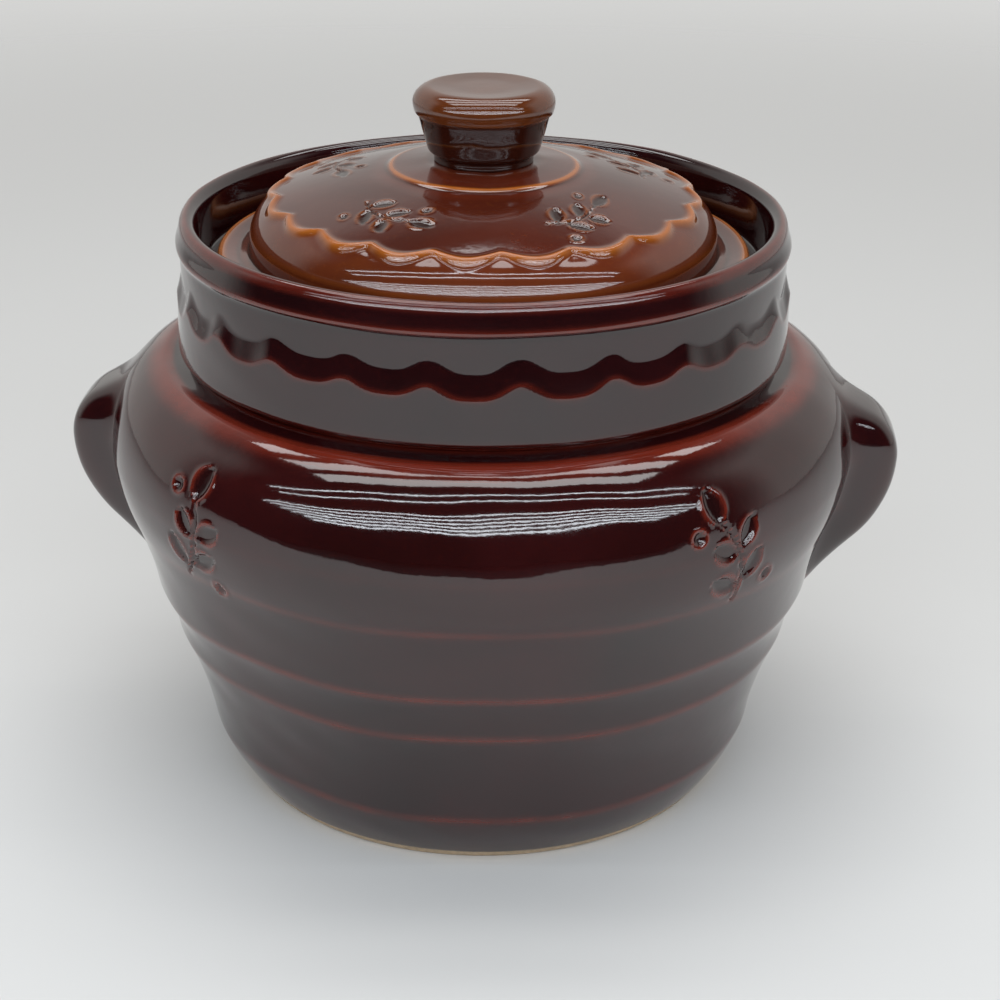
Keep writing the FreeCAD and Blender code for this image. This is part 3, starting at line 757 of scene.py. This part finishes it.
def knobMesh(material):
    # profile turned round the axis: undercut foot, stem that widens upwards, rounded cap
    c = knob
    seat, crown, neck = c["seat"], c["seat"] + c["dish"][1], c["neck"][1]
    arcs = {"cap": (c["capArc"], -1), "top": (c["shoulderArc"], -1)}
    steps = [(c["foot"][0], seat)]
    steps += [(c[ring][0], seat + c[ring][1], *arcs.get(ring, ()))
              for ring in ("foot", "stem", "neck", "lip", "cap", "top", "dish")]
    steps.append((0, crown))
    even, soft = softenProfile(drawProfile((0, seat), steps), c["glazeSoftness"])
    theta = np.linspace(0, 2 * pi, c["columns"], endpoint=False)[None, :]
    spacing = np.where(soft[:, 0] < c["innerReach"], c["innerGap"], c["gap"])
    along = spreadRows(even, spacing, c["rows"])[1:-1][:, None]
    radius, height, curve = (np.interp(along, even, values) for values in (*soft.T, bend(even, soft)))
    radius = radius + c["unevenness"] * wobble(theta, height, 31, 8.0) * smoothStep(*c["unevenFrom"], radius)
    height = height + 0 * theta
    points = np.stack([radius * np.cos(theta), radius * np.sin(theta), height], -1)
    cap = smoothStep(neck + c["capFrom"][0], neck + c["capFrom"][1], height - seat)
    thin = c["capThin"] * cap + np.clip(curve * c["bendThin"], 0, c["bendThinMost"]) * (height - seat > neck)
    marks = {"thinGlaze": (0, thin, c["capThin"]), "pooledGlaze": (1, c["stemPooled"] * (1 - cap), 0),
             "bareClay": (0, 0 * thin, 0)}
    addMesh("lidKnob", withPoles(points, seat, crown), turnedFaces(len(along), c["columns"]), "loose_lid",
            ["lid_knob"], material, poleMarks(marks))


# Shader nodes

def feed(tree, socket, value):
    # gives a socket its value: a number or a colour set on it directly, or another node's output
    if isinstance(value, (int, float)):
        socket.default_value = value
    elif isinstance(value, tuple):
        socket.default_value = (*value, 1.0)
    else:
        tree.links.new(value, socket)


def maths(tree, operation, first, second, clamp=False):
    node = tree.nodes.new("ShaderNodeMath")
    node.operation, node.use_clamp = operation, clamp
    feed(tree, node.inputs[0], first)
    feed(tree, node.inputs[1], second)
    return node.outputs[0]


def remap(tree, value, low, high, outLow=0.0, outHigh=1.0, way="LINEAR"):
    # outLow up to low, outHigh from high on, and in between a straight line or an even S
    node = tree.nodes.new("ShaderNodeMapRange")
    node.interpolation_type = way
    for key, number in (("From Min", low), ("From Max", high), ("To Min", outLow), ("To Max", outHigh)):
        feed(tree, node.inputs[key], number)
    feed(tree, node.inputs["Value"], value)
    return node.outputs[0]


def mixColours(tree, share, under, over):
    # the under colour at share 0 and the over colour at share 1
    node = tree.nodes.new("ShaderNodeMix")
    node.data_type = "RGBA"
    for place, value in ((0, share), (6, under), (7, over)):
        feed(tree, node.inputs[place], value)
    return node.outputs[2]


def noise(tree, scale, detail, distortion=0.0):
    # soft noise in the object's own space, about 0 to 1
    texture = tree.nodes.new("ShaderNodeTexNoise")
    for key, number in (("Scale", scale), ("Detail", detail), ("Distortion", distortion)):
        feed(tree, texture.inputs[key], number)
    feed(tree, texture.inputs["Vector"], tree.nodes.new("ShaderNodeTexCoord").outputs["Object"])
    return texture.outputs["Fac"]


def mark(tree, name):
    # the value that the mesh's points carry under this name
    reader = tree.nodes.new("ShaderNodeAttribute")
    reader.attribute_name = name
    return reader.outputs["Fac"]


# Glaze

glazes = {
    # oxblood's thin colour also paints the orange highlight along the crock's shoulder ridge
    "oxbloodGlaze": {
        "body": (0.017, 0.0022, 0.0026), "thin": (0.165, 0.019, 0.009), "pooled": (0.007, 0.0022, 0.0026),
        "rough": 0.06, "ior": 1.71},
    "chestnutGlaze": {
        "body": (0.082, 0.0135, 0.0058), "thin": (0.38, 0.105, 0.014), "pooled": (0.014, 0.0032, 0.0024),
        "rough": 0.07, "ior": 1.70},
    "amberGlaze": {
        "body": (0.050, 0.010, 0.004), "thin": (0.14, 0.036, 0.008), "pooled": (0.012, 0.0028, 0.002),
        "rough": 0.07, "ior": 1.70},
}

glazing = {
    "clayColour": (0.55, 0.40, 0.25), "clayDark": 0.72, "clayRough": 0.7,
    # noises: scale, detail, distortion, then the range that is spread to 0 to 1
    "drift": ((22, 3, 0.4), (0.3, 0.7)),
    "mottle": ((95, 4, 0.6), (0.35, 0.65)),
    "speckle": ((900, 2), (0.58, 0.72)),
    "breaking": ((160, 3), (0.2, 0.8, 0.65, 1.1)),
    "grain": ((700, 4), (0.3, 0.7)),
    "sheen": ((60, 3), (0.3, 0.7)),
    "driftDark": 0.55, "driftPale": 1.5, "mottleShare": 0.35, "pooledShare": 0.9, "speckleShare": 0.05,
    "sheenRange": (0.8, 1.3),
    "peelNoise": (210, 2), "peelFine": (1300, 1), "peelFineShare": 0.12,
    "peelStrength": 0.05, "peelDistance": 0.0006,
}


def glazeMaterial(name):
    # colour: body glaze, breaking to thin colour on edges and to pooled colour in hollows, with mottling;
    # bare clay shows where the bareClay mark says; a faint orange peel bends the reflections
    glaze, look = glazes[name], glazing
    material = bpy.data.materials.new(name)
    material.use_nodes = True
    tree = material.node_tree
    shader = tree.nodes["Principled BSDF"]

    def pattern(kind, *outRange):
        scales, limits = look[kind]
        return remap(tree, noise(tree, *scales), *limits, *outRange)

    dark, pale = (tuple(min(1.0, channel * look[way]) for channel in glaze["body"])
                  for way in ("driftDark", "driftPale"))
    colour = mixColours(tree, pattern("drift"), dark, pale)
    mottle = maths(tree, "MULTIPLY", pattern("mottle"), look["mottleShare"])
    colour = mixColours(tree, mottle, colour, glaze["body"])
    pooled = maths(tree, "MULTIPLY", mark(tree, "pooledGlaze"), look["pooledShare"], True)
    colour = mixColours(tree, pooled, colour, glaze["pooled"])
    # on the crock the thinGlaze mark also carries the painted highlight along the shoulder ridge
    thin = maths(tree, "MULTIPLY", mark(tree, "thinGlaze"), pattern("breaking"), True)
    colour = mixColours(tree, thin, colour, glaze["thin"])
    speckle = maths(tree, "MULTIPLY", pattern("speckle"), look["speckleShare"])
    colour = mixColours(tree, speckle, colour, glaze["thin"])
    darkClay = tuple(channel * look["clayDark"] for channel in look["clayColour"])
    clay = mixColours(tree, pattern("grain"), darkClay, look["clayColour"])
    bare = mark(tree, "bareClay")
    sheen = pattern("sheen", *(glaze["rough"] * limit for limit in look["sheenRange"]))
    bareRough = maths(tree, "MULTIPLY", bare, look["clayRough"])
    peelFine = maths(tree, "MULTIPLY", noise(tree, *look["peelFine"]), look["peelFineShare"])
    bump = tree.nodes.new("ShaderNodeBump")
    feed(tree, bump.inputs["Strength"], look["peelStrength"])
    feed(tree, bump.inputs["Distance"], look["peelDistance"])
    feed(tree, bump.inputs["Height"], maths(tree, "ADD", noise(tree, *look["peelNoise"]), peelFine))
    feed(tree, shader.inputs["IOR"], glaze["ior"])
    feed(tree, shader.inputs["Base Color"], mixColours(tree, bare, colour, clay))
    feed(tree, shader.inputs["Roughness"], maths(tree, "ADD", sheen, bareRough, True))
    feed(tree, shader.inputs["Normal"], bump.outputs["Normal"])
    return material


# Stage, light and camera

stage = {
    "floorColour": (0.72, 0.71, 0.69), "floorDark": 0.96, "floorNoise": (3.0, 2.0), "floorRough": 0.8,
    "floorRadius": 1.6, "floorSides": 96,
    "fade": (0.40, 1.30),                 # the camera sees the floor melt into the backdrop over this
    "nearEdge": -0.50,                    # reflections find the floor dark in front of this
    "roomDim": (0.018, 0.018, 0.021),     # what the glaze sees before and above the pot
    "roomPale": (0.62, 0.62, 0.60),       # and behind it
    "paleBehind": (-0.15, 0.25), "paleBelow": (0.80, 0.55),
    "backdrop": (0.70, 0.70, 0.69),       # what the camera sees past the floor
    "stripColour": (0.88, 0.94, 1.0),
    "stripGlow": 0.68, "stripWidth": 0.018,
    "strips": (                            # y, z and length of each thin lamp
        (-0.863, 0.464, 2.2), (-0.842, 0.505, 2.4), (-0.815, 0.550, 2.7), (-0.785, 0.595, 3.0),
        (-0.745, 0.645, 3.3), (-0.700, 0.700, 3.6), (-0.480, 0.860, 2.4), (-0.360, 0.915, 2.4)),
    "softColour": (1, 1, 1),
    "softGlow": 2.9, "softWidth": 0.24,
    "soft": ((-0.10, 1.45, 1.7), (0.30, 1.50, 1.7), (0.75, 1.45, 1.7)),
    "lampAim": (0, 0, 0.09),
}

view = {
    "azimuth": 4.0,
    "elevation": 24.29,
    "distance": 0.5864,
    "target": (0.0, 0.0, 0.0667),
    "yaw": 0.509, "pitch": -0.351, "roll": 0.493,     # degrees
    "focalPixels": 2167.6,
    "framePixels": 1000,
    "sensorWidth": 36,
    "nearClip": 0.01,
}


def floorMaterial():
    # matt pale board with a faint unevenness; reflections find it dark before the near edge, and
    # for the camera it fades into the backdrop with the distance from the pot
    material = bpy.data.materials.new("paleBoard")
    material.use_nodes = True
    tree = material.node_tree
    shader = tree.nodes["Principled BSDF"]
    where = tree.nodes.new("ShaderNodeTexCoord").outputs["Object"]
    rays = tree.nodes.new("ShaderNodeLightPath").outputs
    dark = tuple(channel * stage["floorDark"] for channel in stage["floorColour"])
    colour = mixColours(tree, noise(tree, *stage["floorNoise"]), dark, stage["floorColour"])
    place = tree.nodes.new("ShaderNodeSeparateXYZ")
    feed(tree, place.inputs[0], where)
    before = maths(tree, "LESS_THAN", place.outputs["Y"], stage["nearEdge"])
    before = maths(tree, "MULTIPLY", before, rays["Is Glossy Ray"])
    feed(tree, shader.inputs["Roughness"], stage["floorRough"])
    feed(tree, shader.inputs["Base Color"], mixColours(tree, before, colour, stage["roomDim"]))
    reach = tree.nodes.new("ShaderNodeVectorMath")
    reach.operation = "LENGTH"
    feed(tree, reach.inputs[0], where)
    fade = remap(tree, reach.outputs["Value"], *stage["fade"], way="SMOOTHSTEP")
    melt = tree.nodes.new("ShaderNodeMixShader")
    feed(tree, melt.inputs[0], maths(tree, "MULTIPLY", fade, rays["Is Camera Ray"]))
    feed(tree, melt.inputs[1], shader.outputs[0])
    feed(tree, melt.inputs[2], tree.nodes.new("ShaderNodeBsdfTransparent").outputs[0])
    feed(tree, tree.nodes["Material Output"].inputs["Surface"], melt.outputs[0])
    return material


def roomLight():
    # surroundings: pale behind the pot, dim before and above it, plain for the camera itself
    world = bpy.data.worlds.new("room")
    world.use_nodes = True
    tree = world.node_tree
    split = tree.nodes.new("ShaderNodeSeparateXYZ")
    feed(tree, split.inputs[0], tree.nodes.new("ShaderNodeTexCoord").outputs["Generated"])
    behind = remap(tree, split.outputs["Y"], *stage["paleBehind"], way="SMOOTHSTEP")
    below = remap(tree, split.outputs["Z"], *stage["paleBelow"], way="SMOOTHSTEP")
    colour = mixColours(tree, maths(tree, "MULTIPLY", behind, below), stage["roomDim"], stage["roomPale"])
    toCamera = tree.nodes.new("ShaderNodeLightPath").outputs["Is Camera Ray"]
    colour = mixColours(tree, toCamera, colour, stage["backdrop"])
    feed(tree, tree.nodes["Background"].inputs["Color"], colour)
    bpy.context.scene.world = world


def addLamp(name, place, length, kind):
    # long area lamp whose power grows with its length, so that all of a kind look equally bright
    lamp = bpy.data.lights.new(name, "AREA")
    lamp.shape, lamp.size, lamp.size_y = "RECTANGLE", length, stage[kind + "Width"]
    lamp.energy = stage[kind + "Glow"] * length
    lamp.color = stage[kind + "Colour"]
    holder = bpy.data.objects.new(name, lamp)
    bpy.context.scene.collection.objects.link(holder)
    holder.location = Matrix.Rotation(radians(view["azimuth"]), 3, "Z") @ Vector(place)
    aim = Vector(stage["lampAim"]) - holder.location
    holder.rotation_euler = aim.to_track_quat("-Z", "Y").to_euler()


def buildStage():
    # round floor, dim room, soft lamps overhead and thin strip lamps before the pot, as through blinds
    turn = np.linspace(0, 2 * pi, stage["floorSides"], endpoint=False)
    rim = np.stack([np.cos(turn), np.sin(turn), 0 * turn], 1) * stage["floorRadius"]
    mesh = bpy.data.meshes.new("floorBoard")
    mesh.from_pydata(rim.tolist(), [], [list(range(len(turn)))])
    mesh.materials.append(floorMaterial())
    floor = bpy.data.objects.new("floorBoard", mesh)
    bpy.context.scene.collection.objects.link(floor)
    floor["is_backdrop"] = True
    roomLight()
    for kind, places in (("strip", stage["strips"]), ("soft", stage["soft"])):
        for number, (ahead, height, length) in enumerate(places):
            addLamp(f"{kind}Lamp{number + 1}", (0, ahead, height), length, kind)


def placeCamera():
    # camera at the measured elevation and distance, with its small yaw, pitch and roll off the target
    rise, tilt = radians(view["elevation"]), radians(view["elevation"] + view["pitch"])
    yaw, roll = radians(view["yaw"]), radians(view["roll"])
    ahead = Vector((0, cos(rise), -sin(rise)))
    place = Vector(view["target"]) - ahead * view["distance"]
    look = Vector((sin(yaw) * cos(tilt), cos(yaw) * cos(tilt), -sin(tilt)))
    right = Vector((cos(yaw), -sin(yaw), 0))
    up = right.cross(look)
    rolledRight = right * cos(roll) + up * sin(roll)
    rolledUp = up * cos(roll) - right * sin(roll)
    turn = Matrix.Rotation(radians(view["azimuth"]), 4, "Z")
    pose = Matrix.Identity(4)
    for column, axis in enumerate((rolledRight, rolledUp, -look)):
        pose.col[column][:3] = axis
    pose.col[3][:3] = place
    lens = bpy.data.cameras.new("viewCamera")
    lens.sensor_width = view["sensorWidth"]
    lens.lens = view["focalPixels"] / view["framePixels"] * lens.sensor_width
    lens.clip_start = view["nearClip"]
    holder = bpy.data.objects.new("viewCamera", lens)
    bpy.context.scene.collection.objects.link(holder)
    holder.matrix_world = turn @ pose
    bpy.context.scene.camera = holder


oxblood, chestnut, amber = (glazeMaterial(name) for name in ("oxbloodGlaze", "chestnutGlaze", "amberGlaze"))
crockBody(oxblood)
crockCollar(oxblood)
earMesh("rightEar", "right_ear", 0.0, oxblood)
earMesh("leftEar", "left_ear", pi, oxblood)
print("crock and ears built")
lidMesh(chestnut)
knobMesh(amber)
print("lid and knob built")
for name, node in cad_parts.items():
    node.data.materials.clear()
    node.data.materials.append({"lid": chestnut, "lid_knob": amber}.get(name, oxblood))
buildStage()
placeCamera()
bpy.context.scene.view_settings.view_transform = "Standard"
print("stage, lamps and camera set")

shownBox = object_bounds()
for name, box in (("cad", cadBox), ("shown", shownBox)):
    print(f"{name} box", [[round(value / mm, 1) for value in corner] for corner in box])
